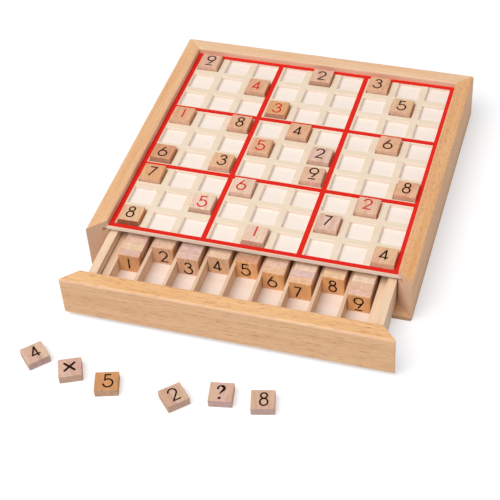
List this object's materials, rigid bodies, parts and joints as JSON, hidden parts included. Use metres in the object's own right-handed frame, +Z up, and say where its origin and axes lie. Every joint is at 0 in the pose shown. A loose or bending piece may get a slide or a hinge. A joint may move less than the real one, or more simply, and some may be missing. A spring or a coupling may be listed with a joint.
{
  "type": "sudoku board",
  "caption": "Wooden sudoku tray with a sunk board of square wells, number tiles, and a drawer with channels for spare tiles whose front closes the mitred frame.",
  "frame": {"origin": "on the underside of the base panel, below the middle of the board", "axes": "+Z up, +Y from the drawer front towards the back rail, +X to the right seen from the drawer"},
  "size_m": [0.3144, 0.4429, 0.044],
  "materials": {
    "beech_rail": "satin oil",
    "plywood": "sanded, bare",
    "board_sheet": "printed, matt lacquer",
    "board_backing": "sanded, bare",
    "drawer_wood": "sanded, bare",
    "beech_tile": "sanded, painted sign"
  },
  "bodies": {
    "tray": {"base_panel": "plywood", "left_rail": "beech_rail", "right_rail": "beech_rail", "back_rail": "beech_rail", "board_backing": "board_backing", "board_sheet": "board_sheet"},
    "drawer": {"drawer_front": "beech_rail", "drawer_left_side": "drawer_wood", "drawer_right_side": "drawer_wood", "drawer_back": "drawer_wood", "drawer_bottom": "board_backing", "left_packing_strip": "drawer_wood", "right_packing_strip": "drawer_wood", "channel_dividers": "drawer_wood"},
    "board_tile_r1c1": {"board_tile_r1c1": "beech_tile"},
    "board_tile_r1c5": {"board_tile_r1c5": "beech_tile"},
    "board_tile_r1c7": {"board_tile_r1c7": "beech_tile"},
    "board_tile_r2c3": {"board_tile_r2c3": "beech_tile"},
    "board_tile_r2c8": {"board_tile_r2c8": "beech_tile"},
    "board_tile_r3c4": {"board_tile_r3c4": "beech_tile"},
    "board_tile_r4c1": {"board_tile_r4c1": "beech_tile"},
    "board_tile_r4c3": {"board_tile_r4c3": "beech_tile"},
    "board_tile_r4c5": {"board_tile_r4c5": "beech_tile"},
    "board_tile_r4c8": {"board_tile_r4c8": "beech_tile"},
    "board_tile_r5c4": {"board_tile_r5c4": "beech_tile"},
    "board_tile_r5c6": {"board_tile_r5c6": "beech_tile"},
    "board_tile_r6c1": {"board_tile_r6c1": "beech_tile"},
    "board_tile_r6c3": {"board_tile_r6c3": "beech_tile"},
    "board_tile_r6c6": {"board_tile_r6c6": "beech_tile"},
    "board_tile_r6c9": {"board_tile_r6c9": "beech_tile"},
    "board_tile_r7c1": {"board_tile_r7c1": "beech_tile"},
    "board_tile_r7c4": {"board_tile_r7c4": "beech_tile"},
    "board_tile_r7c8": {"board_tile_r7c8": "beech_tile"},
    "board_tile_r8c3": {"board_tile_r8c3": "beech_tile"},
    "board_tile_r8c7": {"board_tile_r8c7": "beech_tile"},
    "board_tile_r9c1": {"board_tile_r9c1": "beech_tile"},
    "board_tile_r9c5": {"board_tile_r9c5": "beech_tile"},
    "board_tile_r9c9": {"board_tile_r9c9": "beech_tile"},
    "loose_tile_4": {"loose_tile_4": "beech_tile"},
    "loose_tile_cross": {"loose_tile_cross": "beech_tile"},
    "loose_tile_5": {"loose_tile_5": "beech_tile"},
    "loose_tile_2": {"loose_tile_2": "beech_tile"},
    "loose_tile_query": {"loose_tile_query": "beech_tile"},
    "loose_tile_8": {"loose_tile_8": "beech_tile"},
    "tile_row_1": {"tile_row_1": "beech_tile"},
    "tile_row_2": {"tile_row_2": "beech_tile"},
    "tile_row_3": {"tile_row_3": "beech_tile"},
    "tile_row_4": {"tile_row_4": "beech_tile"},
    "tile_row_5": {"tile_row_5": "beech_tile"},
    "tile_row_6": {"tile_row_6": "beech_tile"},
    "tile_row_7": {"tile_row_7": "beech_tile"},
    "tile_row_8": {"tile_row_8": "beech_tile"},
    "tile_row_9": {"tile_row_9": "beech_tile"}
  },
  "joints": [
    {"name": "drawer_slide", "type": "slide", "parent": "tray", "child": "drawer", "axis": [0, -1, 0], "range_m": [-0.0638, 0.025]},
    {"name": "tile_row_1_slide", "type": "slide", "parent": "drawer", "child": "tile_row_1", "axis": [0, -1, 0], "range_m": [-0.0027, 0.0401]},
    {"name": "tile_row_2_slide", "type": "slide", "parent": "drawer", "child": "tile_row_2", "axis": [0, -1, 0], "range_m": [-0.0027, 0.0563]},
    {"name": "tile_row_3_slide", "type": "slide", "parent": "drawer", "child": "tile_row_3", "axis": [0, -1, 0], "range_m": [-0.0023, 0.0486]},
    {"name": "tile_row_4_slide", "type": "slide", "parent": "drawer", "child": "tile_row_4", "axis": [0, -1, 0], "range_m": [-0.0027, 0.0563]},
    {"name": "tile_row_5_slide", "type": "slide", "parent": "drawer", "child": "tile_row_5", "axis": [0, -1, 0], "range_m": [-0.0023, 0.0567]},
    {"name": "tile_row_6_slide", "type": "slide", "parent": "drawer", "child": "tile_row_6", "axis": [0, -1, 0], "range_m": [-0.0019, 0.049]},
    {"name": "tile_row_7_slide", "type": "slide", "parent": "drawer", "child": "tile_row_7", "axis": [0, -1, 0], "range_m": [0, 0.0429]},
    {"name": "tile_row_8_slide", "type": "slide", "parent": "drawer", "child": "tile_row_8", "axis": [0, -1, 0], "range_m": [-0.0031, 0.0559]},
    {"name": "tile_row_9_slide", "type": "slide", "parent": "drawer", "child": "tile_row_9", "axis": [0, -1, 0], "range_m": [-0.0023, 0.0405]},
    {"name": "loose_tile_4_lift", "type": "slide", "parent": "tray", "child": "loose_tile_4", "axis": [0, 0, 1], "range_m": [0, 0.03]},
    {"name": "loose_tile_cross_lift", "type": "slide", "parent": "tray", "child": "loose_tile_cross", "axis": [0, 0, 1], "range_m": [0, 0.03]},
    {"name": "loose_tile_5_lift", "type": "slide", "parent": "tray", "child": "loose_tile_5", "axis": [0, 0, 1], "range_m": [0, 0.03]},
    {"name": "loose_tile_2_lift", "type": "slide", "parent": "tray", "child": "loose_tile_2", "axis": [0, 0, 1], "range_m": [0, 0.03]},
    {"name": "loose_tile_query_lift", "type": "slide", "parent": "tray", "child": "loose_tile_query", "axis": [0, 0, 1], "range_m": [0, 0.03]},
    {"name": "loose_tile_8_lift", "type": "slide", "parent": "tray", "child": "loose_tile_8", "axis": [0, 0, 1], "range_m": [0, 0.03]},
    {"name": "board_tile_r1c1_lift", "type": "slide", "parent": "tray", "child": "board_tile_r1c1", "axis": [0, 0, 1], "range_m": [0, 0.03]},
    {"name": "board_tile_r1c5_lift", "type": "slide", "parent": "tray", "child": "board_tile_r1c5", "axis": [0, 0, 1], "range_m": [0, 0.03]},
    {"name": "board_tile_r1c7_lift", "type": "slide", "parent": "tray", "child": "board_tile_r1c7", "axis": [0, 0, 1], "range_m": [0, 0.03]},
    {"name": "board_tile_r2c3_lift", "type": "slide", "parent": "tray", "child": "board_tile_r2c3", "axis": [0, 0, 1], "range_m": [0, 0.03]},
    {"name": "board_tile_r2c8_lift", "type": "slide", "parent": "tray", "child": "board_tile_r2c8", "axis": [0, 0, 1], "range_m": [0, 0.03]},
    {"name": "board_tile_r3c4_lift", "type": "slide", "parent": "tray", "child": "board_tile_r3c4", "axis": [0, 0, 1], "range_m": [0, 0.03]},
    {"name": "board_tile_r4c1_lift", "type": "slide", "parent": "tray", "child": "board_tile_r4c1", "axis": [0, 0, 1], "range_m": [0, 0.03]},
    {"name": "board_tile_r4c3_lift", "type": "slide", "parent": "tray", "child": "board_tile_r4c3", "axis": [0, 0, 1], "range_m": [0, 0.03]},
    {"name": "board_tile_r4c5_lift", "type": "slide", "parent": "tray", "child": "board_tile_r4c5", "axis": [0, 0, 1], "range_m": [0, 0.03]},
    {"name": "board_tile_r4c8_lift", "type": "slide", "parent": "tray", "child": "board_tile_r4c8", "axis": [0, 0, 1], "range_m": [0, 0.03]},
    {"name": "board_tile_r5c4_lift", "type": "slide", "parent": "tray", "child": "board_tile_r5c4", "axis": [0, 0, 1], "range_m": [0, 0.03]},
    {"name": "board_tile_r5c6_lift", "type": "slide", "parent": "tray", "child": "board_tile_r5c6", "axis": [0, 0, 1], "range_m": [0, 0.03]},
    {"name": "board_tile_r6c1_lift", "type": "slide", "parent": "tray", "child": "board_tile_r6c1", "axis": [0, 0, 1], "range_m": [0, 0.03]},
    {"name": "board_tile_r6c3_lift", "type": "slide", "parent": "tray", "child": "board_tile_r6c3", "axis": [0, 0, 1], "range_m": [0, 0.03]},
    {"name": "board_tile_r6c6_lift", "type": "slide", "parent": "tray", "child": "board_tile_r6c6", "axis": [0, 0, 1], "range_m": [0, 0.03]},
    {"name": "board_tile_r6c9_lift", "type": "slide", "parent": "tray", "child": "board_tile_r6c9", "axis": [0, 0, 1], "range_m": [0, 0.03]},
    {"name": "board_tile_r7c1_lift", "type": "slide", "parent": "tray", "child": "board_tile_r7c1", "axis": [0, 0, 1], "range_m": [0, 0.03]},
    {"name": "board_tile_r7c4_lift", "type": "slide", "parent": "tray", "child": "board_tile_r7c4", "axis": [0, 0, 1], "range_m": [0, 0.03]},
    {"name": "board_tile_r7c8_lift", "type": "slide", "parent": "tray", "child": "board_tile_r7c8", "axis": [0, 0, 1], "range_m": [0, 0.03]},
    {"name": "board_tile_r8c3_lift", "type": "slide", "parent": "tray", "child": "board_tile_r8c3", "axis": [0, 0, 1], "range_m": [0, 0.03]},
    {"name": "board_tile_r8c7_lift", "type": "slide", "parent": "tray", "child": "board_tile_r8c7", "axis": [0, 0, 1], "range_m": [0, 0.03]},
    {"name": "board_tile_r9c1_lift", "type": "slide", "parent": "tray", "child": "board_tile_r9c1", "axis": [0, 0, 1], "range_m": [0, 0.03]},
    {"name": "board_tile_r9c5_lift", "type": "slide", "parent": "tray", "child": "board_tile_r9c5", "axis": [0, 0, 1], "range_m": [0, 0.03]},
    {"name": "board_tile_r9c9_lift", "type": "slide", "parent": "tray", "child": "board_tile_r9c9", "axis": [0, 0, 1], "range_m": [0, 0.03]}
  ]
}
